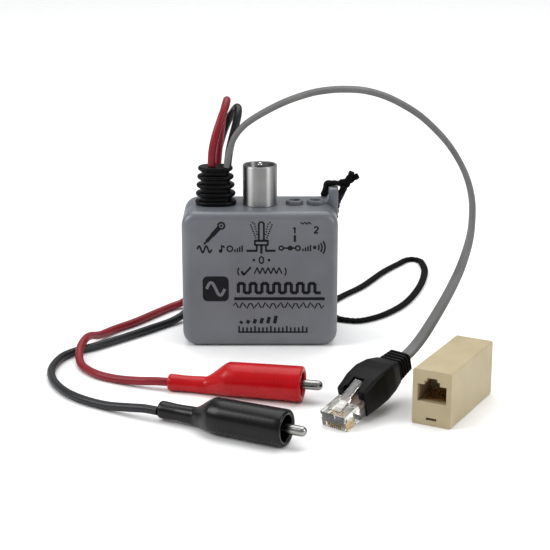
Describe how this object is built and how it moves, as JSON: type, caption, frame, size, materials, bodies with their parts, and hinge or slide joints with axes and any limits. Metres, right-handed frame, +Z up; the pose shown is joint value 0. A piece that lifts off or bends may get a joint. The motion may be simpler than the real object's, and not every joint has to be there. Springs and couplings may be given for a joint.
{
  "type": "tone generator test set",
  "caption": "Hand-held tone generator with a guarded toggle, indicator lamps, two clip leads, a flat modular cord with plug, a wrist lanyard and an in-line modular coupler.",
  "frame": {"origin": "centre of the case's base, in the plane the set stands on", "axes": "+Z up, +X to the right seen from the printed front face, +Y from the front face to the back"},
  "size_m": [0.1834, 0.2561, 0.1152],
  "materials": {
    "case_plastic": "fine matte moulded grey",
    "bezel_plastic": "moulded grey",
    "screw_steel": "zinc plated",
    "board_green": "solder mask",
    "chip_black": "moulded",
    "winding": "enamelled wire",
    "capacitor_blue": "shrink sleeve",
    "resistor_tan": "lacquered",
    "switch_plastic": "moulded",
    "terminal": "tinned",
    "plated_metal": "bright nickel",
    "brushed_tube": "satin turned",
    "lamp_red": "diffused",
    "lamp_green": "diffused",
    "black_rubber": "satin",
    "tie_nylon": "natural nylon",
    "battery_wrap": "plain wrap",
    "red_lead_vinyl": "satin vinyl",
    "black_vinyl": "satin vinyl",
    "grey_vinyl": "satin vinyl",
    "braid": "round braid",
    "red_boot_vinyl": "glossy vinyl",
    "black_boot_vinyl": "glossy vinyl",
    "clip_steel": "nickel plated",
    "spring_steel": "music wire",
    "clear_plastic": "clear polycarbonate",
    "gold_contact": "gold flashed",
    "wire_colours": "insulated conductors",
    "ivory_plastic": "satin moulded ivory"
  },
  "bodies": {
    "case": {"front_shell": "case_plastic", "rear_shell": "case_plastic", "case_screws": "screw_steel", "circuit_board": "board_green", "board_screws": "screw_steel", "board_chips": "chip_black", "board_transformer": "winding", "board_capacitors": "capacitor_blue", "board_resistors": "resistor_tan", "switch_body": "switch_plastic", "switch_terminals": "terminal", "switch_bushing": "plated_metal", "switch_nut": "plated_metal", "switch_guard": "brushed_tube", "led_bezels": "bezel_plastic", "led_l1": "lamp_red", "led_l2": "lamp_green", "strain_relief": "black_rubber", "cable_tie": "tie_nylon", "cord_tails": "black_vinyl", "battery_9v": "battery_wrap", "battery_snap": "black_rubber", "snap_leads": "black_vinyl", "red_lead": "red_lead_vinyl", "black_lead": "black_vinyl", "modular_cable": "grey_vinyl", "lanyard_cord": "braid", "lanyard_knot": "braid", "red_boot": "red_boot_vinyl", "red_fixed_jaw": "clip_steel", "red_pin": "clip_steel", "red_spring": "spring_steel", "red_crimp": "terminal", "black_boot": "black_boot_vinyl", "black_fixed_jaw": "clip_steel", "black_pin": "clip_steel", "black_spring": "spring_steel", "black_crimp": "terminal", "plug_body": "clear_plastic", "plug_contacts": "gold_contact", "plug_wires": "wire_colours", "plug_boot": "black_rubber"},
    "lever": {"switch_lever": "plated_metal"},
    "red_jaw": {"red_moving_jaw": "clip_steel"},
    "black_jaw": {"black_moving_jaw": "clip_steel"},
    "latch": {"plug_latch": "clear_plastic"},
    "door": {"battery_door": "case_plastic", "battery_door_screw": "screw_steel"},
    "coupler": {"coupler_shell": "ivory_plastic", "coupler_core": "ivory_plastic", "coupler_board": "board_green", "coupler_contacts_a": "gold_contact", "coupler_contacts_b": "gold_contact"}
  },
  "joints": [
    {"name": "toggle", "type": "hinge", "parent": "case", "child": "lever", "pos_m": [0, 0, 0.06], "axis": [0, 1, 0], "range_deg": [-13, 13]},
    {"name": "red_jaw_pivot", "type": "hinge", "parent": "case", "child": "red_jaw", "pos_m": [0.00231, -0.07906, 0.0072], "axis": [-0.2215, -0.9751, 0], "range_deg": [0, 10], "stiffness_Nm_per_rad": 0.05, "springref_deg": -17.19},
    {"name": "black_jaw_pivot", "type": "hinge", "parent": "case", "child": "black_jaw", "pos_m": [-0.00313, -0.1219, 0.0072], "axis": [-0.3706, -0.7305, -0.5736], "range_deg": [0, 10], "stiffness_Nm_per_rad": 0.05, "springref_deg": -17.19},
    {"name": "latch_flex", "type": "hinge", "parent": "case", "child": "latch", "pos_m": [0.0294, -0.11162, 0.00752], "axis": [-0.766, 0.6428, 0], "range_deg": [0, 10], "stiffness_Nm_per_rad": 0.01, "springref_deg": -5.73},
    {"name": "door_lift", "type": "slide", "parent": "case", "child": "door", "axis": [0, 1, 0], "range_m": [0, 0.025]},
    {"name": "coupler_lift", "type": "slide", "parent": "case", "child": "coupler", "axis": [0, 0, 1], "range_m": [0, 0.06]}
  ]
}
